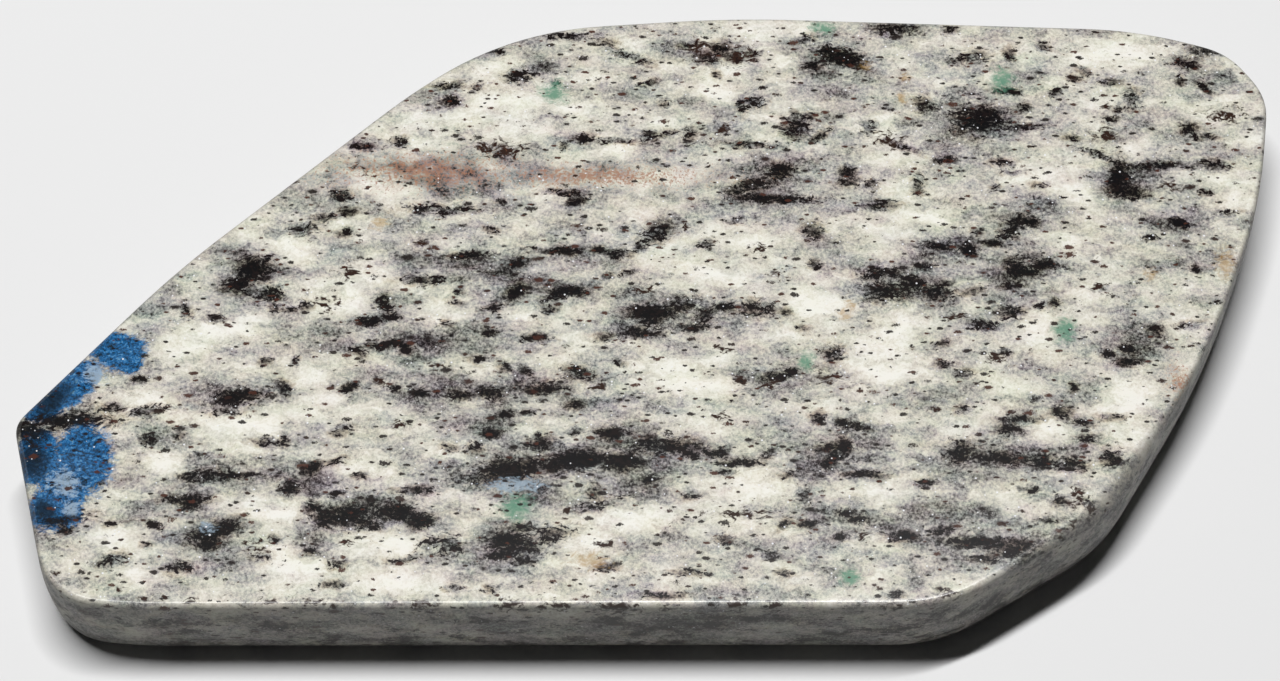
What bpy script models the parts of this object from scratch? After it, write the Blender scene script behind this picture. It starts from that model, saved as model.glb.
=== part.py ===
"""A hand-polished freeform slab of granite that carries azurite, lying on its flat underside.

The stone is one solid. Lengths are in metres and +Z is up. The origin lies on the resting
face, under the middle of the outline's box, with the slab's long way along X.
"""

import math

import bmesh
import bpy
from mathutils import Vector

# Driving dimensions of the section, metres
THICKNESS = 0.0052
LOWER_ROUND = 0.0010       # rounding from the underside up to the side
UPPER_ROUND = 0.00045      # rounding from the side over to the polished face
WORN_ROUND = 0.00095       # the same rounding where the front right edge is ground back further
WALL_BULGE = 0.00010       # how far the side's middle stands out past its two ends

# The stretch of edge that is ground back further: its middle, and how far it reaches
WORN_CENTRE = Vector((0.0222, -0.0112))
WORN_REACH = 0.0042

# Corners of the outline seen from above, counter-clockwise: x, y and the corner's radius, metres
OUTLINE = (
    (-0.0320, -0.00735, 0.0012),   # the tip at the left
    (-0.02945, -0.0171, 0.0036),   # front left corner
    (-0.0250, -0.01745, 0.0120),
    (0.0137, -0.0174, 0.0080),     # end of the straight front edge
    (0.0220, -0.0123, 0.0090),
    (0.0277, -0.0030, 0.0450),     # the long bowed edge at the front right
    (0.0311, 0.0058, 0.0300),
    (0.0321, 0.0122, 0.0034),      # back right corner, ground in two turns
    (0.0302, 0.0151, 0.0036),
    (0.0255, 0.0166, 0.0200),
    (0.0040, 0.0174, 0.0600),      # the slight bow of the back edge
    (-0.0080, 0.0165, 0.0160),     # back left corner
    (-0.0134, 0.0122, 0.0300),
    (-0.0246, 0.0016, 0.0500),     # the long diagonal at the back left
)

# How finely the curves are cut into flats
MOST_TURN = math.radians(6.0)
LONGEST_STEP = 0.0009
ROUND_STEPS = 5
WALL_STEPS = 4

# Finish of the stone
STONE_COLOUR = (0.47, 0.46, 0.43, 1.0)
STONE_ROUGHNESS = 0.35


def clear_scene():
    """Remove whatever the open file holds."""
    for item in list(bpy.data.objects):
        bpy.data.objects.remove(item, do_unlink=True)


def corner_arc(before, corner, after, radius):
    """Points of the arc that rounds one convex corner, each with its outward direction."""
    to_before = (before - corner).normalized()
    to_after = (after - corner).normalized()
    half_angle = to_before.angle(to_after) / 2
    centre = corner + (to_before + to_after).normalized() * radius / math.sin(half_angle)
    turn = math.pi - 2 * half_angle
    steps = max(1, math.ceil(max(turn / MOST_TURN, turn * radius / LONGEST_STEP)))
    first = math.atan2(to_before.x, -to_before.y)   # square to the edge before the corner
    arc = []
    for step in range(steps + 1):
        angle = first + turn * step / steps
        outward = Vector((math.cos(angle), math.sin(angle)))
        arc.append((centre + outward * radius, outward))
    return arc


def slab_outline():
    """The whole outline, counter-clockwise, moved so that its box is centred on the origin."""
    corners = [Vector((x, y)) for x, y, _ in OUTLINE]
    outline = []
    for index, (_, _, radius) in enumerate(OUTLINE):
        before = corners[index - 1]
        after = corners[(index + 1) % len(corners)]
        outline += corner_arc(before, corners[index], after, radius)
    xs = [point.x for point, _ in outline]
    ys = [point.y for point, _ in outline]
    middle = Vector((min(xs) + max(xs), min(ys) + max(ys))) / 2
    return [(point - middle, outward) for point, outward in outline]


def upper_round_at(point):
    """Radius of the upper rounding, wider along the worn stretch of edge."""
    nearness = math.exp(-((point - WORN_CENTRE).length / WORN_REACH) ** 2)
    return UPPER_ROUND + (WORN_ROUND - UPPER_ROUND) * nearness


def section(upper_round):
    """The side's section from the underside up, as pairs of inset and height."""
    rows = []
    for step in range(ROUND_STEPS + 1):
        angle = math.pi / 2 * step / ROUND_STEPS
        inset = WALL_BULGE + LOWER_ROUND * (1 - math.sin(angle))
        rows.append((inset, LOWER_ROUND * (1 - math.cos(angle))))
    wall_height = THICKNESS - LOWER_ROUND - upper_round
    for step in range(1, WALL_STEPS):
        share = step / WALL_STEPS
        rows.append((WALL_BULGE * (2 * share - 1) ** 2, LOWER_ROUND + wall_height * share))
    for step in range(ROUND_STEPS + 1):
        angle = math.pi / 2 * step / ROUND_STEPS
        inset = WALL_BULGE + upper_round * (1 - math.cos(angle))
        rows.append((inset, THICKNESS - upper_round * (1 - math.sin(angle))))
    return rows


def edge_loop(mesh, places):
    """A closed loop of edges through the places."""
    corners = [mesh.verts.new(place) for place in places]
    return [mesh.edges.new((corner, corners[index - 1])) for index, corner in enumerate(corners)]


def build_slab():
    """The stone: one loop of edges for each row of the section, bridged and capped."""
    columns = []
    for point, outward in slab_outline():
        rows = section(upper_round_at(point))
        columns.append([(point - outward * inset).to_3d() + Vector((0, 0, z)) for inset, z in rows])
    mesh = bmesh.new()
    loops = [edge_loop(mesh, row) for row in zip(*columns)]
    for lower, upper in zip(loops, loops[1:]):
        bmesh.ops.bridge_loops(mesh, edges=lower + upper)
    for cap in (loops[0], loops[-1]):
        bmesh.ops.contextual_create(mesh, geom=cap)
    bmesh.ops.recalc_face_normals(mesh, faces=mesh.faces)
    data = bpy.data.meshes.new("granite_slab")
    mesh.to_mesh(data)
    mesh.free()
    data.shade_smooth()
    data.set_sharp_from_angle(angle=math.radians(40.0))
    slab = bpy.data.objects.new("granite_slab", data)
    bpy.context.collection.objects.link(slab)
    return slab


def stone_material():
    """Polished granite, as one plain finish."""
    material = bpy.data.materials.new("polished granite")
    material.use_nodes = True
    shader = material.node_tree.nodes["Principled BSDF"]
    shader.inputs["Base Color"].default_value = STONE_COLOUR
    shader.inputs["Roughness"].default_value = STONE_ROUGHNESS
    shader.inputs["Metallic"].default_value = 0.0
    return material


def main():
    clear_scene()
    slab = build_slab()
    slab.data.materials.append(stone_material())


main()
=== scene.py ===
import math
import bmesh
import bpy
import numpy as np
from mathutils import Matrix, Vector, noise


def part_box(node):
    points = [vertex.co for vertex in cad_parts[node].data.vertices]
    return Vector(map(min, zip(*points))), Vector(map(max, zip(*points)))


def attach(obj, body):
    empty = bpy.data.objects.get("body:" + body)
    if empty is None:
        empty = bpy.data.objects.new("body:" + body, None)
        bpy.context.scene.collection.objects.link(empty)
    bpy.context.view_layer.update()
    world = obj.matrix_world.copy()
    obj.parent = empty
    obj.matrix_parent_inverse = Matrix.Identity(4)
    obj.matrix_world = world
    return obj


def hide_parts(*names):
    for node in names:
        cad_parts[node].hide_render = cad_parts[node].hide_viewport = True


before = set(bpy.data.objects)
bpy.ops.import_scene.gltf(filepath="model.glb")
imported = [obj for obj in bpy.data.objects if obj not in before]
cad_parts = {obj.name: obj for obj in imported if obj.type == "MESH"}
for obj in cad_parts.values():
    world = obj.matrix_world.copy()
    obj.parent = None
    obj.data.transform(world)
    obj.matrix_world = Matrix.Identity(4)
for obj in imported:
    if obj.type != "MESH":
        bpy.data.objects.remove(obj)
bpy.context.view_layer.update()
slabLow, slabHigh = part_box("granite_slab")
mm = 0.001
print("frame loaded, the slab measures", [round((b - a) / mm, 2) for a, b in zip(slabLow, slabHigh)], "mm")


# The camera, as fitted to the photograph's outline of the slab
camera = {
    "elevation": 60.0,          # degrees above the horizon, looking along +Y
    "distance": 162.5 * mm,     # from the point looked at
    "lookAt": (-1.0 * mm, 0.42 * mm, 0.0),
    "sensor": 36.0,             # mm, across the picture's long side
    "lens": 87.9,               # mm
    "photoWidth": 1280,
    "photoHeight": 681,
}


def cameraFrame():
    # where the camera stands, and its right, up and forward directions
    tilt = math.radians(camera["elevation"])
    forward = Vector((0, math.cos(tilt), -math.sin(tilt)))
    right = Vector((1, 0, 0))
    up = right.cross(forward)
    return Vector(camera["lookAt"]) - forward * camera["distance"], right, up, forward


def makeCamera():
    data = bpy.data.cameras.new("camera")
    data.lens = camera["lens"]
    data.sensor_width = camera["sensor"]
    data.clip_start, data.clip_end = 1 * mm, 10.0
    place, right, up, forward = cameraFrame()
    body = bpy.data.objects.new("camera", data)
    bpy.context.scene.collection.objects.link(body)
    turn = Matrix((right, up, -forward)).transposed().to_4x4()
    body.matrix_world = Matrix.Translation(place) @ turn
    bpy.context.scene.camera = body


def photoPlaces(points):
    # the photograph's pixel at which each point (rows of x, y, z) shows
    place, right, up, forward = (np.array(v) for v in cameraFrame())
    pixels = camera["photoWidth"] * camera["lens"] / camera["sensor"]
    ray = points - place
    depth = ray @ forward
    across = camera["photoWidth"] / 2 + pixels * (ray @ right) / depth
    down = camera["photoHeight"] / 2 - pixels * (ray @ up) / depth
    return np.stack([across, down], axis=1)


makeCamera()
print("camera placed")


# Sizes of the stone's visual mesh
slab = {
    "along": 284,               # faces along the front and the back edge
    "across": 208,              # faces along the right and the left edge
    "lowerRound": 1.0 * mm,
    "upperRound": 0.28 * mm,
    "wornRound": 0.95 * mm,
    "wornCentre": (22.2 * mm, -11.2 * mm),
    "wornReach": 4.2 * mm,
    "bulge": 0.10 * mm,
    "lowerSteps": 5,
    "wallSteps": 13,
    "upperSteps": 8,
    "underStep": 4,             # the underside has one face for so many of the side's
    "underInset": 0.6 * mm,     # from the lower rounding's rim to the underside's own grid
    "startCorner": (-29.9 * mm, -16.4 * mm),
    "smoothings": 6,            # passes that round off the corners of the CAD's flats
    "mergeGap": 0.001 * mm,
}


def cadOutline():
    # corners of the CAD stone's widest section, counter-clockwise
    cut = bmesh.new()
    cut.from_mesh(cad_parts["granite_slab"].data)
    bmesh.ops.remove_doubles(cut, verts=cut.verts[:], dist=slab["mergeGap"])
    middle = (slab["lowerRound"] + slabHigh.z - slab["upperRound"]) / 2
    bmesh.ops.bisect_plane(
        cut, geom=cut.verts[:] + cut.edges[:] + cut.faces[:], plane_co=(0, 0, middle), plane_no=(0, 0, 1),
        clear_outer=True, clear_inner=True)
    corners = [Vector((v.co.x, v.co.y)) for v in cut.verts]
    cut.free()
    return sorted(corners, key=lambda p: math.atan2(p.y, p.x))


def evenLoop(corners, count, start):
    # so many points spread evenly round the outline, from the corner nearest the start, each with its
    # outward direction
    first = min(range(len(corners)), key=lambda i: (corners[i] - Vector(start)).length)
    ring = corners[first:] + corners[:first + 1]
    lengths = np.cumsum([0] + [(b - a).length for a, b in zip(ring, ring[1:])])
    at = np.arange(count) * lengths[-1] / count
    x = np.interp(at, lengths, [p.x for p in ring])
    y = np.interp(at, lengths, [p.y for p in ring])
    for _ in range(slab["smoothings"]):
        x = x / 2 + (np.roll(x, 1) + np.roll(x, -1)) / 4
        y = y / 2 + (np.roll(y, 1) + np.roll(y, -1)) / 4
    dx, dy = np.roll(x, -1) - np.roll(x, 1), np.roll(y, -1) - np.roll(y, 1)
    size = np.hypot(dx, dy)
    return np.stack([x, y], axis=1), np.stack([dy / size, -dx / size], axis=1)


def sectionRows(upperRound):
    # inset and height of each row of the side, from the underside up
    rows = []
    top = slabHigh.z
    lowerRound, bulge = slab["lowerRound"], slab["bulge"]
    for step in range(slab["lowerSteps"] + 1):
        angle = math.pi / 2 * step / slab["lowerSteps"]
        rows.append((bulge + lowerRound * (1 - math.sin(angle)), lowerRound * (1 - math.cos(angle))))
    wall = top - lowerRound - upperRound
    for step in range(1, slab["wallSteps"]):
        share = step / slab["wallSteps"]
        rows.append((bulge * (2 * share - 1) ** 2, lowerRound + wall * share))
    for step in range(slab["upperSteps"] + 1):
        angle = math.pi / 2 * step / slab["upperSteps"]
        inset = bulge + upperRound * (1 - math.cos(angle))
        rows.append((inset, top - upperRound * (1 - math.sin(angle))))
    return rows


def edgeLoop(mesh, places):
    # a closed loop of edges through the places
    corners = [mesh.verts.new(p) for p in places]
    return [mesh.edges.new(pair) for pair in zip(corners, corners[1:] + corners[:1])]


def fillGrid(mesh, loop, along, across):
    # a grid of faces inside a closed loop of 2 * (along + across) edges
    sides = loop[:along] + loop[along + across:2 * along + across]
    return bmesh.ops.grid_fill(mesh, edges=sides, use_smooth=True, use_interp_simple=True)


def makeSlab():
    along, across = slab["along"], slab["across"]
    outline, outward = evenLoop(cadOutline(), 2 * (along + across), slab["startCorner"])
    worn = np.exp(-(np.hypot(*(outline - slab["wornCentre"]).T) / slab["wornReach"]) ** 2)
    upperRound = slab["upperRound"] + (slab["wornRound"] - slab["upperRound"]) * worn
    mesh = bmesh.new()
    loops = []
    for inset, height in sectionRows(upperRound):
        flat = outline - outward * np.reshape(inset, (-1, 1))
        heights = np.broadcast_to(height, len(outline))
        loops.append(edgeLoop(mesh, [(x, y, z) for (x, y), z in zip(flat, heights)]))
    for lower, upper in zip(loops, loops[1:]):
        bmesh.ops.bridge_loops(mesh, edges=lower + upper)
    fillGrid(mesh, loops[-1], along, across)
    under = slab["underStep"]
    flat = (outline - outward * (slab["bulge"] + slab["lowerRound"] + slab["underInset"]))[::under]
    underLoop = edgeLoop(mesh, [(x, y, 0) for x, y in flat])
    bmesh.ops.bridge_loops(mesh, edges=loops[0] + underLoop)
    fillGrid(mesh, underLoop, along // under, across // under)
    bmesh.ops.recalc_face_normals(mesh, faces=mesh.faces[:])
    data = bpy.data.meshes.new("granite_slab_polished")
    mesh.to_mesh(data)
    mesh.free()
    data.shade_smooth()
    piece = bpy.data.objects.new("granite_slab_polished", data)
    bpy.context.scene.collection.objects.link(piece)
    return piece


stone = makeSlab()
print("slab meshed,", sum(len(p.vertices) - 2 for p in stone.data.polygons), "triangles")


# Marks of the stone, read off the photograph. Each row is one mark's middle, its half length and half
# height in the photograph's pixels and, where it has one, its tilt in degrees, rising to the right.
blackClots = [
    # left end
    (186, 312, 6, 8), (213, 320, 12, 3), (275, 308, 5, 5), (265, 362, 7, 4), (296, 360, 4, 5),
    (140, 380, 8, 3), (85, 387, 10, 3), (240, 398, 28, 8, 10), (283, 388, 7, 8), (145, 411, 20, 5, 10),
    (225, 413, 15, 4), (150, 440, 8, 7), (178, 435, 6, 3), (200, 453, 6, 4), (265, 442, 14, 3),
    (284, 440, 4, 6), (190, 477, 12, 4), (207, 477, 15, 7), (235, 475, 30, 3), (315, 467, 10, 4, 30),
    (288, 487, 10, 9), (185, 500, 22, 5), (190, 505, 10, 5), (113, 559, 14, 6, 15), (110, 523, 7, 3),
    (155, 525, 8, 5), (216, 530, 24, 8, 20), (207, 545, 10, 6), (275, 540, 5, 4), (262, 558, 10, 4),
    (145, 545, 6, 3), (178, 567, 13, 6), (312, 507, 8, 5), (325, 520, 10, 8), (310, 550, 6, 3),
    # back, left of the middle
    (570, 36, 24, 4), (520, 75, 14, 6, 8), (497, 51, 10, 3), (448, 86, 16, 3), (475, 88, 6, 3),
    (450, 102, 8, 4), (556, 84, 5, 3), (605, 43, 10, 5), (632, 57, 18, 5, -20), (650, 83, 10, 3),
    (400, 142, 8, 5), (365, 147, 14, 3), (586, 138, 10, 4), (565, 146, 5, 4), (617, 141, 22, 2),
    (340, 195, 10, 6), (502, 202, 6, 4), (440, 210, 34, 5), (578, 200, 10, 3, 15), (560, 192, 20, 2),
    (650, 135, 10, 5),
    # back, right of the middle
    (688, 45, 12, 3), (720, 48, 10, 8), (708, 58, 10, 6), (733, 58, 8, 4), (717, 75, 6, 4),
    (755, 53, 7, 3), (806, 38, 8, 4, 15), (828, 50, 8, 4), (845, 57, 20, 8, -20), (812, 66, 10, 3),
    (893, 30, 20, 6), (950, 30, 8, 3), (972, 58, 14, 7), (742, 107, 5, 9), (755, 103, 10, 7),
    (665, 103, 6, 4), (795, 115, 5, 3, -30), (807, 117, 7, 3, 15), (795, 128, 13, 10),
    (668, 133, 10, 3, 10), (690, 135, 6, 7), (750, 145, 25, 4), (820, 135, 10, 3, 25), (780, 172, 12, 9),
    (750, 187, 20, 6, 12), (778, 199, 40, 3), (868, 128, 10, 7), (900, 145, 20, 3, -20),
    (923, 105, 8, 8, 50), (978, 120, 22, 14), (847, 172, 8, 6), (850, 182, 10, 5), (870, 185, 8, 4),
    (918, 187, 6, 9), (945, 160, 10, 3), (885, 205, 15, 5),
    # back right corner
    (1042, 47, 7, 4), (1010, 54, 6, 8), (1085, 72, 8, 3, -30), (1075, 78, 8, 2), (1110, 83, 12, 3),
    (1185, 63, 12, 6), (1205, 50, 14, 6), (1180, 80, 4, 6), (1205, 88, 8, 3, -25), (1008, 92, 14, 3),
    (1055, 93, 6, 3), (1132, 98, 8, 9), (1118, 108, 6, 3), (1025, 108, 8, 4), (1025, 127, 20, 4),
    (1070, 137, 8, 3), (1112, 120, 8, 3, 10), (1190, 130, 8, 6), (1205, 137, 14, 2),
    (1100, 156, 20, 3, -18), (1118, 175, 8, 14), (1130, 193, 18, 6), (1165, 166, 38, 3),
    (1213, 165, 18, 5), (1003, 163, 12, 4), (1015, 173, 14, 2), (995, 188, 5, 3), (1040, 185, 8, 3),
    (1207, 192, 7, 4), (1225, 212, 13, 3),
    # middle, left
    (255, 270, 15, 12), (240, 285, 14, 7), (268, 258, 8, 3, 35), (270, 295, 12, 6), (290, 310, 8, 4),
    (305, 305, 8, 5), (350, 212, 10, 4), (325, 217, 14, 3, 12), (305, 228, 14, 6), (345, 232, 10, 4),
    (492, 229, 7, 3, -15), (470, 255, 20, 2), (520, 263, 10, 4, 12), (550, 250, 25, 3), (430, 280, 28, 4),
    (458, 291, 6, 2), (515, 292, 8, 6), (557, 297, 14, 4, 10), (550, 310, 8, 4), (385, 303, 7, 8, 50),
    (390, 317, 10, 4), (370, 320, 14, 5), (455, 303, 7, 3), (492, 310, 12, 2, 15), (447, 323, 6, 3),
    (490, 333, 6, 3), (385, 345, 22, 3, 5), (405, 348, 6, 5), (358, 353, 10, 3, -18), (535, 338, 15, 3),
    (505, 365, 8, 5, -30), (525, 370, 8, 3, -35), (480, 360, 10, 2), (350, 387, 10, 4, 30),
    (395, 388, 6, 3), (420, 392, 8, 4), (460, 395, 14, 4), (490, 393, 12, 5), (545, 388, 20, 6),
    (575, 370, 12, 5),
    # middle
    (570, 250, 12, 4), (598, 250, 6, 3), (615, 253, 14, 2), (655, 235, 16, 10, 30), (640, 248, 6, 5),
    (705, 243, 8, 3), (607, 278, 6, 3), (630, 273, 9, 3, 20), (570, 292, 15, 4), (650, 312, 20, 7),
    (685, 303, 18, 7), (650, 322, 10, 4), (640, 333, 22, 5), (690, 328, 14, 5), (705, 315, 8, 8),
    (605, 336, 10, 4), (725, 305, 10, 3), (755, 308, 18, 8), (785, 312, 6, 3), (735, 222, 8, 3),
    (812, 230, 12, 8), (815, 265, 6, 5), (803, 328, 8, 3), (620, 362, 6, 4), (580, 375, 12, 6),
    (790, 373, 7, 5), (775, 378, 14, 4), (832, 354, 11, 8),
    # middle, right
    (880, 273, 18, 6), (912, 283, 14, 7), (888, 292, 20, 10), (940, 292, 14, 8), (945, 284, 8, 3),
    (970, 293, 14, 3, 20), (925, 265, 10, 2), (935, 245, 12, 3, -10), (968, 250, 7, 5), (978, 230, 6, 4),
    (1012, 228, 18, 8, 45), (993, 242, 8, 4), (1030, 222, 8, 6), (1015, 268, 10, 8), (1045, 265, 16, 4),
    (1030, 272, 8, 4), (1012, 287, 10, 4), (1150, 238, 8, 2), (1178, 222, 9, 3, -25), (1198, 270, 6, 4),
    (1012, 313, 14, 6), (982, 325, 12, 5), (1040, 307, 5, 4), (1055, 303, 5, 4), (1128, 350, 8, 3, -20),
    (1130, 362, 12, 4), (1108, 356, 8, 3), (1155, 330, 8, 6), (1190, 325, 12, 4), (940, 344, 8, 2),
    (943, 364, 8, 3), (962, 373, 10, 4), (1005, 352, 8, 3), (1035, 397, 7, 2, 20), (1075, 388, 5, 4),
    # front, left of the middle
    (345, 428, 10, 3), (338, 433, 8, 4), (490, 433, 10, 3), (505, 413, 8, 4), (530, 413, 8, 3),
    (575, 405, 10, 4), (450, 447, 8, 5), (475, 447, 8, 6), (540, 443, 14, 7), (575, 431, 8, 4),
    (612, 434, 16, 6), (665, 446, 30, 8), (510, 470, 38, 9, 8), (575, 462, 40, 9, 6), (620, 462, 26, 7),
    (595, 493, 7, 8), (598, 505, 24, 5, 12), (335, 462, 12, 4, 10), (310, 470, 12, 4, 25),
    (358, 476, 8, 3), (335, 493, 8, 4, 20), (345, 517, 30, 10), (400, 512, 16, 8), (420, 522, 12, 8),
    (370, 525, 16, 5), (415, 490, 20, 3), (450, 545, 12, 9), (430, 545, 12, 6), (405, 558, 16, 2, 12),
    (335, 565, 10, 4), (335, 585, 14, 4), (515, 545, 25, 11), (525, 528, 12, 4), (555, 535, 20, 8, 20),
    (500, 555, 14, 4), (530, 560, 16, 3), (455, 590, 10, 4), (490, 590, 8, 4), (608, 568, 10, 5),
    # front, right of the middle
    (690, 455, 10, 3), (715, 453, 10, 4), (740, 463, 24, 3), (725, 472, 8, 3), (770, 452, 10, 3, 30),
    (650, 478, 8, 4), (690, 495, 8, 4), (817, 417, 8, 5), (843, 424, 8, 4), (862, 427, 12, 3, -12),
    (830, 448, 16, 3), (845, 445, 6, 8), (830, 462, 10, 5, 40), (787, 475, 7, 4), (805, 495, 8, 8),
    (865, 475, 20, 2), (845, 512, 10, 4), (858, 520, 8, 4), (785, 525, 8, 4, 30), (808, 525, 8, 3),
    (905, 537, 16, 5), (840, 537, 8, 3), (725, 540, 8, 6), (770, 555, 8, 5), (685, 573, 20, 4),
    (665, 595, 20, 3), (785, 573, 8, 3), (895, 595, 8, 4),
    # front right edge
    (963, 409, 10, 3), (1060, 413, 10, 6), (1020, 420, 20, 3), (1010, 430, 12, 6), (1085, 423, 12, 4),
    (1112, 417, 16, 3), (1090, 438, 12, 3), (960, 452, 14, 11), (995, 459, 26, 6), (1045, 463, 12, 7),
    (1070, 465, 16, 6), (1113, 460, 12, 8), (925, 483, 10, 3), (1030, 490, 8, 3), (1060, 500, 8, 5),
    (1090, 503, 8, 5), (1045, 520, 10, 3), (945, 530, 14, 3), (978, 541, 30, 5), (1010, 550, 22, 8),
    (985, 560, 16, 4),
]
brownClots = [
    (55, 575, 5, 4), (258, 545, 12, 6), (363, 168, 8, 4), (328, 305, 12, 6), (350, 271, 8, 8),
    (380, 382, 8, 4), (645, 290, 10, 3), (722, 350, 10, 3, -15), (600, 387, 10, 4, 10), (770, 385, 10, 5),
    (740, 380, 6, 4), (722, 128, 6, 5), (738, 56, 16, 8), (700, 50, 14, 9), (955, 315, 12, 3),
    (995, 357, 10, 4), (1105, 105, 5, 4), (1175, 187, 12, 4), (1105, 135, 10, 6), (1225, 115, 16, 8),
    (398, 423, 9, 3), (865, 535, 14, 4), (740, 515, 35, 3), (1075, 497, 8, 8), (826, 378, 20, 5),
    (345, 543, 6, 3), (485, 147, 8, 5), (435, 367, 8, 4), (735, 605, 10, 8), (505, 150, 20, 8),
    (888, 140, 14, 8),
    # along the front edge
    (117, 590, 6, 3), (145, 597, 8, 4), (165, 600, 5, 4), (190, 601, 6, 3), (225, 597, 6, 3),
    (247, 603, 5, 3), (268, 601, 7, 4), (300, 600, 7, 4), (325, 604, 12, 3), (422, 605, 12, 3),
    (512, 604, 12, 3), (543, 606, 5, 3), (560, 606, 7, 4), (620, 606, 18, 4), (667, 607, 7, 4),
    (775, 607, 10, 3), (895, 606, 10, 3), (945, 594, 10, 3), (1060, 538, 8, 3), (1075, 522, 7, 4),
    (1090, 508, 6, 4), (1098, 286, 6, 3), (938, 412, 8, 3), (605, 545, 8, 3), (720, 415, 8, 3),
    (565, 510, 7, 3), (678, 225, 8, 3), (775, 272, 8, 3), (423, 243, 6, 4), (757, 248, 8, 4),
]
greyHazes = [
    (545, 65, 10, 7), (503, 155, 14, 8), (470, 170, 10, 12), (445, 192, 34, 13), (450, 102, 20, 12),
    (690, 102, 10, 6), (905, 123, 12, 5), (978, 120, 32, 22), (1145, 170, 18, 12), (1040, 205, 14, 7),
    (370, 320, 24, 10), (485, 420, 24, 13), (515, 485, 38, 12), (640, 465, 55, 26), (310, 490, 14, 14),
    (312, 545, 16, 10), (288, 487, 16, 14), (230, 395, 34, 15), (660, 318, 46, 24), (905, 285, 46, 18),
    (1020, 240, 24, 26), (380, 515, 50, 16), (515, 545, 32, 16), (345, 340, 30, 10), (1010, 430, 18, 10),
    (985, 510, 14, 7), (915, 570, 8, 12), (560, 460, 80, 16, 6), (1000, 455, 60, 14), (1120, 183, 24, 18),
    (840, 60, 30, 16), (780, 180, 36, 18), (215, 480, 40, 14), (210, 535, 32, 16), (250, 278, 30, 20),
    (610, 95, 30, 10), (560, 255, 50, 10), (455, 262, 60, 14), (540, 290, 40, 14), (1180, 225, 30, 12),
    (1020, 275, 34, 16), (960, 245, 36, 16), (770, 375, 36, 14), (1150, 350, 34, 16), (830, 455, 40, 20),
    (870, 520, 50, 14), (1000, 545, 50, 14), (420, 340, 60, 14), (500, 390, 90, 12), (650, 400, 60, 10),
    (720, 305, 30, 14),
]
felsparPatches = [
    (190, 352, 22, 15), (225, 330, 25, 12), (150, 400, 20, 8), (170, 465, 14, 8), (240, 430, 25, 12),
    (270, 397, 18, 10), (310, 380, 20, 20), (225, 490, 15, 12), (255, 510, 14, 12), (283, 510, 16, 20),
    (120, 540, 18, 14), (70, 560, 15, 10), (135, 580, 12, 10), (290, 570, 25, 18), (475, 110, 60, 26),
    (610, 75, 25, 15), (600, 115, 35, 12), (740, 30, 20, 10), (710, 90, 15, 10), (385, 195, 25, 12),
    (300, 255, 20, 8), (340, 300, 25, 15), (370, 270, 15, 20), (430, 320, 20, 12), (700, 270, 35, 25),
    (640, 345, 40, 15), (745, 285, 24, 30), (820, 310, 30, 25), (680, 390, 60, 30), (900, 340, 40, 25),
    (930, 215, 30, 15), (1070, 245, 20, 12), (1040, 335, 15, 15), (1130, 410, 20, 25),
    (1180, 345, 20, 20), (740, 490, 40, 20), (650, 520, 50, 15), (570, 560, 30, 25), (380, 545, 35, 15),
    (400, 580, 40, 12), (960, 435, 15, 10), (1040, 435, 20, 8), (1110, 425, 15, 12), (880, 500, 24, 10),
    (870, 545, 20, 8), (1100, 60, 30, 12), (1085, 190, 12, 10), (1230, 195, 16, 20), (1040, 175, 25, 10),
]
stains = {
    "azurite": [
        (118, 352, 27, 19), (132, 366, 10, 8), (72, 386, 36, 17, 40), (40, 408, 18, 14), (84, 460, 28, 36),
        (66, 483, 28, 22), (46, 510, 20, 20), (38, 460, 24, 28), (71, 512, 12, 15),
    ],
    "deepBlue": [(52, 400, 27, 13, 40), (34, 460, 18, 24), (44, 512, 15, 14)],
    "paleBlue": [
        (95, 375, 12, 13), (66, 483, 18, 14), (71, 512, 9, 12), (207, 527, 10, 6), (515, 485, 30, 8),
    ],
    "malachite": [
        (554, 92, 14, 12), (1003, 80, 12, 12), (1065, 330, 12, 13), (850, 577, 11, 10), (806, 362, 8, 10),
        (822, 28, 14, 7), (515, 507, 17, 15),
    ],
    "blackBand": [(66, 420, 50, 8), (32, 431, 18, 16), (62, 521, 28, 5, 12)],
    "rust": [(425, 172, 105, 20), (600, 176, 120, 12), (1180, 380, 14, 18)],
    "ochre": [
        (903, 97, 8, 6), (905, 80, 6, 6), (865, 65, 8, 6), (850, 305, 7, 6), (845, 315, 7, 6),
        (1150, 275, 8, 8), (380, 222, 12, 8), (1225, 262, 14, 20), (590, 560, 24, 10),
    ],
}
tipClots = [(68, 420, 50, 8), (34, 432, 22, 18), (110, 408, 16, 5), (62, 521, 28, 6, 12), (65, 530, 8, 5)]

# How the marks are laid on the mesh; a depth is in pixels of the photograph too, about 0.05 mm each
painting = {
    "thinnest": 3.5,            # least half height a mark is drawn with
    "depthShare": 0.6,          # a mark goes down by its half height and this share of its half length
    "wobble": 3.0,              # by which noise moves the marks' rims
    "wobbleSize": 0.7 * mm,
    "seed": 1,                  # of that noise, which without one differs from run to run
    "fadeFrom": 6,              # depth at which the marks give way to seeded ones
    "fadeOver": 20,             # and over how much depth they do
    "seededSize": 1.1 * mm,     # of the seeded clots across the foliation
    "seededStretch": 0.5,       # and along it, as a share of their frequency
    "seededGain": 1.6,
    "seededLevel": -0.75,       # lower makes them fewer
    "seededHaze": 0.4,
    "polishDepth": 4,           # where the polish has ended
}


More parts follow.
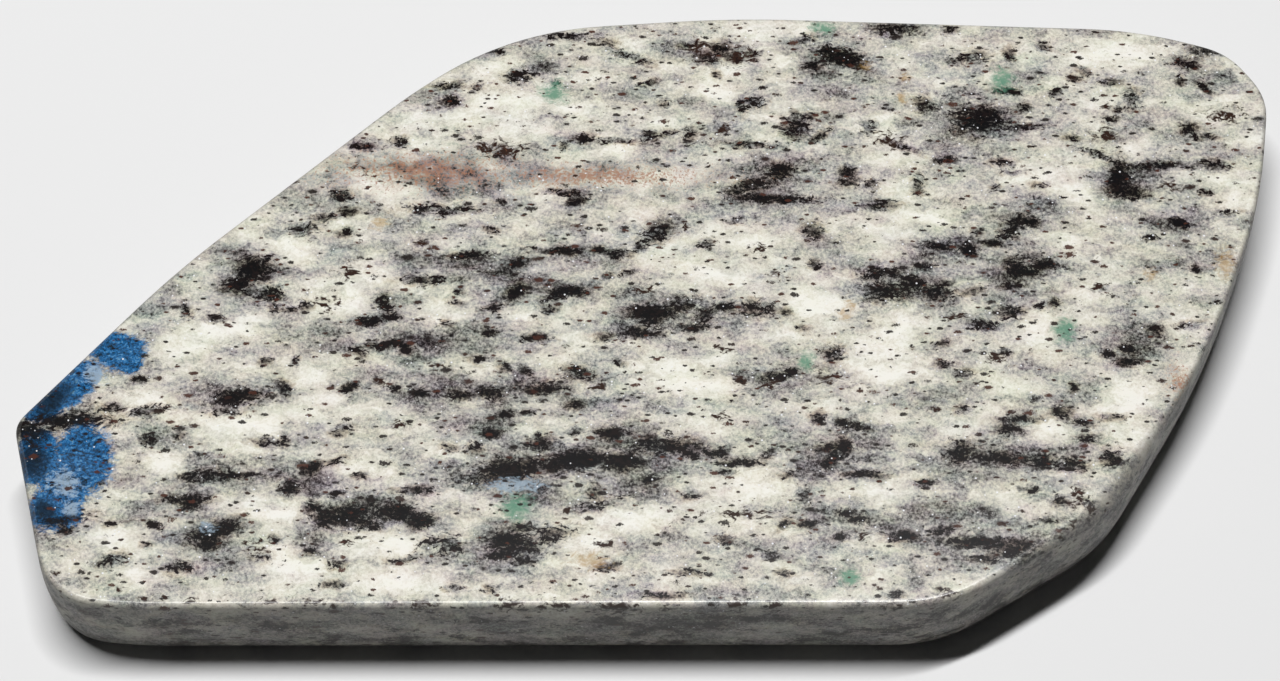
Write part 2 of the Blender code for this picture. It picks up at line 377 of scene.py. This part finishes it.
def markField(seen, depth, rows):
    # 1 at a mark's middle, 0 at its rim and down to -1 outside, for the nearest of the marks
    field = np.full(len(seen), -1.0)
    for across, down, halfLength, halfHeight, *tilt in rows:
        turn = math.radians(tilt[0] if tilt else 0.0)
        u, v = seen[:, 0] - across, down - seen[:, 1]
        along = (u * math.cos(turn) + v * math.sin(turn)) / halfLength
        aside = (v * math.cos(turn) - u * math.sin(turn)) / max(halfHeight, painting["thinnest"])
        below = depth / (painting["depthShare"] * halfLength + halfHeight)
        field = np.maximum(field, 1 - np.sqrt(along ** 2 + aside ** 2 + below ** 2))
    return field


def paintMarks(piece):
    # writes each kind of mark as an attribute of the mesh
    count = len(piece.data.vertices)
    places = np.empty(count * 3)
    piece.data.vertices.foreach_get("co", places)
    places = places.reshape(count, 3)
    noise.seed_set(painting["seed"])
    wobble = np.array([noise.noise_vector(Vector(p) / painting["wobbleSize"]) for p in places])
    plan = places.copy()
    plan[:, 2] = slabHigh.z
    pixel = camera["sensor"] / camera["lens"] / camera["photoWidth"] * camera["distance"]
    depth = (slabHigh.z - places[:, 2]) / pixel
    seen = photoPlaces(plan) + wobble[:, :2] * painting["wobble"]
    fields = {
        "mica": markField(seen, depth, blackClots + tipClots),
        "brown": markField(seen, depth, brownClots),
        "haze": markField(seen, depth, greyHazes) * 0.5 + 0.5,
        "felspar": markField(seen, depth, felsparPatches) * 0.5 + 0.5,
        # depth down the side: sets the ground finish's roughness and the side's painted shade
        "ground": np.clip(np.sqrt(np.maximum(depth, 0) / painting["polishDepth"]), 0, 1),
    }
    # below what the photograph shows, the clots come from seeded noise
    stretch = painting["seededStretch"]
    seeds = [Vector((x * stretch, y, z)) / painting["seededSize"] for x, y, z in places]
    inner = np.array([noise.fractal(seed, 0.6, 2.0, 4) for seed in seeds])
    seeded = np.clip(inner * painting["seededGain"] + painting["seededLevel"], -1, 1)
    hidden = np.clip((depth - painting["fadeFrom"]) / painting["fadeOver"], 0, 1)
    fields["mica"] = fields["mica"] * (1 - hidden) + seeded * hidden
    fields["haze"] = fields["haze"] * (1 - hidden) + painting["seededHaze"] * hidden
    for name, rows in stains.items():
        fields[name] = markField(seen, depth, rows) * 0.5 + 0.5
    for name, values in fields.items():
        attribute = piece.data.attributes.new(name, "FLOAT", "POINT")
        attribute.data.foreach_set("value", values.astype(np.float32))


paintMarks(stone)
print("marks painted")


def hexColour(code):
    # sRGB hex to a linear colour with alpha
    parts = [int(code[i:i + 2], 16) / 255 for i in (1, 3, 5)]
    return tuple(p / 12.92 if p <= 0.04045 else ((p + 0.055) / 1.055) ** 2.4 for p in parts) + (1.0,)


def addNode(tree, kind, inputs=(), out=0, **settings):
    # adds a node, sets it up, and returns one of its outputs
    made = tree.nodes.new("ShaderNode" + kind)
    for name, value in settings.items():
        setattr(made, name, value)
    for name, value in dict(inputs).items():
        if isinstance(value, bpy.types.NodeSocket):
            tree.links.new(value, made.inputs[name])
        else:
            made.inputs[name].default_value = value
    return made.outputs[out]


# Biotite granite, ground flat and polished to a satin gloss: white felspar and grey quartz in soft-edged
# grains, films and flakes of black mica that lie along one direction, and stains of azurite, malachite and
# rust. A scale is a pattern's features to the millimetre.
granite = {
    "tones": (
        (0.00, "#0d0c0e"), (0.12, "#2a2523"), (0.26, "#5a5856"), (0.40, "#8c8a87"), (0.54, "#b3b1aa"),
        (0.68, "#d2cec0"), (0.82, "#e6e3d6"), (0.96, "#f3f1e8"),
    ),
    "azurites": ((0.30, "#041a24"), (0.44, "#07456e"), (0.58, "#0e68a6"), (0.80, "#74a8c4")),
    "speck": "#1c1413",
    "redSpeck": "#4a2a20",
    "brown": "#33221b",
    "halo": "#c8ad85",          # warm tint of the felspar round the mica
    "malachite": "#5f9078",
    "rust": "#9c6648",
    "ochre": "#b08d55",
    "deepBlue": "#0b1a26",
    "paleBlue": "#a3b6c6",
    "blackBand": "#0b0b0d",
    # painted highlight: the white of the glint flecks
    "paintedGlint": "#f4f5f8",
    "ground": "#494844",        # the side's colour: greyer and flatter in tone as it is only ground, and darker as painted shade
    # how far the side takes that colour, painted shade included
    "groundShare": 0.56,
    "gloss": 0.17,              # roughness of the polished face
    "groundGloss": 0.60,        # and of the side, which is only ground
    "foliationTurn": 2,         # degrees from the X axis
    "foliationStretch": (0.5, 1, 0.9),
    "driftScale": 1.3,          # of the wandering that bends the foliation
    "drift": 0.9,               # mm
    "patchScale": 0.62,         # of felspar and quartz, in patches of 1.5 to 4 mm
    "grainScale": 1.7,          # of their grains, each with a shade of its own
    "raggedScale": 5.0,         # of the marks' ragged rims
    "filmScale": 2.0,           # of the grains that mica films wrap
    "threadScale": 1.6,         # of the mica threads that wind between them
    "sugarScale": 6.0,          # of the sugary texture all over
    "tintScale": 0.9,
    "tint": 0.30,               # how much warm, green and blue tints show
    "glintScale": 5.0,
    "felsparLift": 0.28,        # by how much each of these lightens or darkens the tone, at most
    "hazeDrop": -0.34,
    "grainShade": 0.14,
    "smokeDrop": 0.46,
    "filmDrop": 0.55,
}
stainSpread = {
    # the noise in its rim and how far that swings, where the stain begins and is full, and its strength
    "malachite": ("clot", 0.60, 0.30, 0.95, 0.90),
    "rust": ("sugar", 3.20, 0.58, 1.05, 0.80),
    "ochre": ("clot", 0.75, 0.45, 1.00, 0.60),
    "azurite": ("clot", 0.22, 0.40, 0.58, 0.97),
    "deepBlue": ("clot", 0.45, 0.45, 0.80, 0.90),
    "paleBlue": ("clot", 0.75, 0.45, 0.85, 0.75),
    "blackBand": ("clot", 0.60, 0.42, 0.80, 0.95),
}
speckLayers = (
    # turn in degrees, cells to the millimetre, share of cells without a speck, growth of the rest
    (8, 1.5, 0.82, 1.4),
    (-38, 2.2, 0.76, 1.2),
    (55, 3.0, 0.72, 1.2),
    (14, 4.4, 0.70, 1.2),
)


def fillRamp(ramp, stops):
    # places a colour ramp's stops
    first, *between, last = stops
    for element, (place, code) in zip(ramp.elements, (first, last)):
        element.position, element.color = place, hexColour(code)
    for place, code in between:
        ramp.elements.new(place).color = hexColour(code)


def graniteMaterial():
    material = bpy.data.materials.new("polished biotite granite with azurite")
    material.use_nodes = True
    tree = material.node_tree
    shader = tree.nodes["Principled BSDF"]
    colour = {name: hexColour(code) for name, code in granite.items() if isinstance(code, str)}
    mark = {}
    for name in ("mica", "brown", "haze", "felspar", "ground", *stains):
        mark[name] = addNode(tree, "Attribute", out=2, attribute_name=name)

    # coordinates in millimetres, then bent, and stretched along the foliation
    coords = addNode(tree, "TexCoord", out=3)
    inMm = addNode(tree, "Mapping", {"Vector": coords, "Scale": (1 / mm, 1 / mm, 1 / mm)})
    drift = addNode(tree, "TexNoise", {"Vector": inMm, "Scale": granite["driftScale"], "Detail": 3.0}, out=1)
    drift = addNode(tree, "VectorMath", {0: drift, 1: (0.5, 0.5, 0.5)}, operation="SUBTRACT")
    bent = addNode(tree, "VectorMath", {
        0: drift, 1: 3 * (granite["drift"],), 2: inMm}, operation="MULTIPLY_ADD")
    foliated = addNode(tree, "Mapping", {
        "Vector": bent, "Rotation": (0, 0, math.radians(granite["foliationTurn"])),
        "Scale": granite["foliationStretch"]})

    # felspar and quartz, from dark smoky through grey to white
    patches = addNode(tree, "TexNoise", {
        "Vector": foliated, "Scale": granite["patchScale"], "Detail": 6.0, "Roughness": 0.72})
    tone = addNode(tree, "Math", {0: patches, 1: 1.6, 2: -0.25}, operation="MULTIPLY_ADD")
    for name, weight in (("felspar", granite["felsparLift"]), ("haze", granite["hazeDrop"])):
        tone = addNode(tree, "Math", {0: mark[name], 1: weight, 2: tone}, operation="MULTIPLY_ADD")
    grain = addNode(tree, "TexVoronoi", {"Vector": foliated, "Scale": granite["grainScale"]}, out=1)
    shade = addNode(tree, "SeparateColor", {0: grain})
    tone = addNode(tree, "Math", {0: shade, 1: granite["grainShade"], 2: tone}, operation="MULTIPLY_ADD")

    # mica is smoky round its clots, and fills them with black films that wrap the grains
    ragged = addNode(tree, "TexNoise", {
        "Vector": foliated, "Scale": granite["raggedScale"], "Detail": 4.0, "Roughness": 0.7})
    clot = addNode(tree, "Math", {0: ragged, 1: 2.4, 2: -1.2}, operation="MULTIPLY_ADD")
    rims = addNode(tree, "TexVoronoi", {
        "Vector": foliated, "Scale": granite["filmScale"]}, feature="DISTANCE_TO_EDGE")
    film = addNode(tree, "MapRange", {0: rims, 1: 0.0, 2: 0.25, 3: 0.45, 4: -0.35})
    winding = addNode(tree, "TexNoise", {
        "Vector": foliated, "Scale": granite["threadScale"], "Detail": 3.0, "Roughness": 0.6})
    offLine = addNode(tree, "Math", {0: winding, 1: 0.5}, operation="SUBTRACT")
    offLine = addNode(tree, "Math", {0: offLine}, operation="ABSOLUTE")
    thread = addNode(tree, "MapRange", {0: offLine, 1: 0.0, 2: 0.08, 3: 0.6, 4: -0.5})
    strands = addNode(tree, "Math", {0: film, 1: thread}, operation="ADD")
    strands = addNode(tree, "Math", {0: clot, 1: strands}, operation="ADD")
    nearMica = addNode(tree, "Math", {0: mark["mica"], 1: clot}, operation="ADD")
    smoke = addNode(tree, "MapRange", {
        0: nearMica, 1: -0.70, 2: 0.90, 4: granite["smokeDrop"]}, interpolation_type="SMOOTHSTEP")
    tone = addNode(tree, "Math", {0: tone, 1: smoke}, operation="SUBTRACT")
    inClot = addNode(tree, "Math", {0: mark["mica"], 1: 0.30}, operation="MINIMUM")
    films = addNode(tree, "Math", {0: inClot, 1: 0.95, 2: strands}, operation="MULTIPLY_ADD")
    films = addNode(tree, "MapRange", {
        0: films, 1: 0.18, 2: 1.05, 4: granite["filmDrop"]}, interpolation_type="SMOOTHSTEP")
    tone = addNode(tree, "Math", {0: tone, 1: films}, operation="SUBTRACT")

    # sugary texture, about a sixth of a millimetre across, strongest in the grey
    sugar = addNode(tree, "TexNoise", {
        "Vector": inMm, "Scale": granite["sugarScale"], "Detail": 3.0, "Roughness": 0.85})
    sugar = addNode(tree, "Math", {0: sugar, 1: 0.5}, operation="SUBTRACT")
    strength = addNode(tree, "MapRange", {0: tone, 1: 0.3, 2: 0.8, 3: 1.5, 4: 0.65})
    tone = addNode(tree, "Math", {0: sugar, 1: strength, 2: tone}, operation="MULTIPLY_ADD")
    base = addNode(tree, "ValToRGB", {0: tone})
    fillRamp(base.node.color_ramp, granite["tones"])

    # faint warm, green and blue tints drift through the grey, and the felspar is warmer round the mica
    tint = addNode(tree, "TexNoise", {
        "Vector": foliated, "Scale": granite["tintScale"], "Detail": 5.0, "Roughness": 0.7}, out=1)
    base = addNode(tree, "Mix", {
        0: granite["tint"], 6: base, 7: tint}, out=2, data_type="RGBA", blend_type="SOFT_LIGHT")
    warmth = addNode(tree, "MapRange", {0: winding, 1: 0.40, 2: 0.60})
    halo = addNode(tree, "MapRange", {0: nearMica, 1: -1.0, 2: 0.2, 4: 0.45}, interpolation_type="SMOOTHSTEP")
    halo = addNode(tree, "Math", {0: halo, 1: warmth}, operation="MULTIPLY")
    base = addNode(tree, "Mix", {
        0: halo, 6: base, 7: colour["halo"]}, out=2, data_type="RGBA", blend_type="MULTIPLY")
    brown = addNode(tree, "Math", {0: mark["brown"], 1: 1.1, 2: strands}, operation="MULTIPLY_ADD")
    brown = addNode(tree, "MapRange", {0: brown, 1: -0.20, 2: 0.75}, interpolation_type="SMOOTHSTEP")
    base = addNode(tree, "Mix", {0: brown, 6: base, 7: colour["brown"]}, out=2, data_type="RGBA")

    # the stains, of which the azurite is mottled, and mica films that run on through them
    mottle = addNode(tree, "Math", {0: sugar, 1: ragged}, operation="ADD")
    azurite = addNode(tree, "ValToRGB", {0: mottle})
    fillRamp(azurite.node.color_ramp, granite["azurites"])
    inks = {**colour, "azurite": azurite}
    grits = {"clot": clot, "sugar": sugar}
    for name, (grit, swing, low, high, most) in stainSpread.items():
        place = addNode(tree, "Math", {0: grits[grit], 1: swing, 2: mark[name]}, operation="MULTIPLY_ADD")
        amount = addNode(tree, "MapRange", {
            0: place, 1: low, 2: high, 4: most}, interpolation_type="SMOOTHSTEP")
        base = addNode(tree, "Mix", {0: amount, 6: base, 7: inks[name]}, out=2, data_type="RGBA")
    overStain = addNode(tree, "MapRange", {0: films, 1: 0.25, 2: 0.55, 4: 0.85})
    base = addNode(tree, "Mix", {0: overStain, 6: base, 7: colour["speck"]}, out=2, data_type="RGBA")

    # small flakes of mica, a tenth to half a millimetre long, some of them red-brown
    for turn, cells, bare, growth in speckLayers:
        turned = addNode(tree, "Mapping", {
            "Vector": inMm, "Rotation": (0, 0, math.radians(turn)), "Scale": (0.5 * cells, cells, cells)})
        cell = addNode(tree, "TexVoronoi", {"Vector": turned, "Scale": 1.0}, out=0)
        chance = addNode(tree, "SeparateColor", {0: cell.node.outputs[1]})
        reach = addNode(tree, "Math", {0: chance, 1: growth, 2: -bare * growth}, operation="MULTIPLY_ADD")
        inside = addNode(tree, "Math", {0: reach, 1: cell}, operation="SUBTRACT")
        inside = addNode(tree, "Math", {0: sugar, 1: 0.9, 2: inside}, operation="MULTIPLY_ADD")
        amount = addNode(tree, "MapRange", {
            0: inside, 1: -0.05, 2: 0.05, 4: 0.95}, interpolation_type="SMOOTHSTEP")
        red = addNode(tree, "MapRange", {0: chance.node.outputs[1], 1: 0.55, 2: 0.85})
        ink = addNode(tree, "Mix", {
            0: red, 6: colour["speck"], 7: colour["redSpeck"]}, out=2, data_type="RGBA")
        base = addNode(tree, "Mix", {0: amount, 6: base, 7: ink}, out=2, data_type="RGBA")

    # painted highlights: white glints of cleavage faces, painted into the colour as white flecks
    spark = addNode(tree, "TexVoronoi", {"Vector": inMm, "Scale": granite["glintScale"]}, out=0)
    chance = addNode(tree, "SeparateColor", {0: spark.node.outputs[1]})
    reach = addNode(tree, "Math", {0: chance, 1: 2.5, 2: -2.22}, operation="MULTIPLY_ADD")
    inside = addNode(tree, "Math", {0: reach, 1: spark}, operation="SUBTRACT")
    amount = addNode(tree, "MapRange", {
        0: inside, 1: -0.06, 2: 0.08, 4: 0.9}, interpolation_type="SMOOTHSTEP")
    base = addNode(tree, "Mix", {0: amount, 6: base, 7: colour["paintedGlint"]}, out=2, data_type="RGBA")

    # the ground side, greyer and flatter in tone as it is only ground, and darkened with painted shade
    side = addNode(tree, "MapRange", {0: mark["ground"], 4: granite["groundShare"]})
    base = addNode(tree, "Mix", {0: side, 6: base, 7: colour["ground"]}, out=2, data_type="RGBA")
    tree.links.new(base, shader.inputs["Base Color"])
    gloss = addNode(tree, "MapRange", {
        0: mark["ground"], 2: 0.2, 3: granite["gloss"], 4: granite["groundGloss"]})
    tree.links.new(gloss, shader.inputs["Roughness"])
    return material


stone.data.materials.append(graniteMaterial())
print("granite made")

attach(stone, "root")
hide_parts("granite_slab")


# White matt paper under the stone
paper = {
    "reach": 1.5,               # metres from its middle to each edge
    "gap": 0.02 * mm,           # below the stone
    "colour": (0.8, 0.8, 0.8, 1),   # linear
    "roughness": 0.9,
}


def makeFloor():
    mesh = bmesh.new()
    bmesh.ops.create_grid(mesh, x_segments=1, y_segments=1, size=paper["reach"])
    bmesh.ops.translate(mesh, verts=mesh.verts, vec=(0, 0, -paper["gap"]))
    data = bpy.data.meshes.new("paper_floor")
    mesh.to_mesh(data)
    mesh.free()
    floor = bpy.data.objects.new("paper_floor", data)
    bpy.context.scene.collection.objects.link(floor)
    material = bpy.data.materials.new("white paper")
    material.use_nodes = True
    shader = material.node_tree.nodes["Principled BSDF"]
    shader.inputs["Base Color"].default_value = paper["colour"]
    shader.inputs["Roughness"].default_value = paper["roughness"]
    data.materials.append(material)


# A strip light, nearly overhead, and a dim room
softbox = {
    "length": 0.27,             # metres, along X
    "width": 0.02,
    "place": (-0.035, 0.08, 0.5),
    "watts": 2.75,
    "roomColour": (0.9, 0.95, 1, 1),
    "roomStrength": 0.012,
}


def makeLight():
    data = bpy.data.lights.new("softbox", "AREA")
    data.shape = "RECTANGLE"
    data.size, data.size_y = softbox["length"], softbox["width"]
    data.energy = softbox["watts"]
    lamp = bpy.data.objects.new("softbox", data)
    bpy.context.scene.collection.objects.link(lamp)
    place = Vector(softbox["place"])
    lamp.matrix_world = Matrix.Translation(place) @ place.to_track_quat("Z", "Y").to_matrix().to_4x4()
    world = bpy.data.worlds.new("dim room")
    bpy.context.scene.world = world
    world.use_nodes = True
    background = world.node_tree.nodes["Background"]
    background.inputs["Color"].default_value = softbox["roomColour"]
    background.inputs["Strength"].default_value = softbox["roomStrength"]
    bpy.context.scene.view_settings.view_transform = "Standard"


makeFloor()
makeLight()
print("paper and light placed")
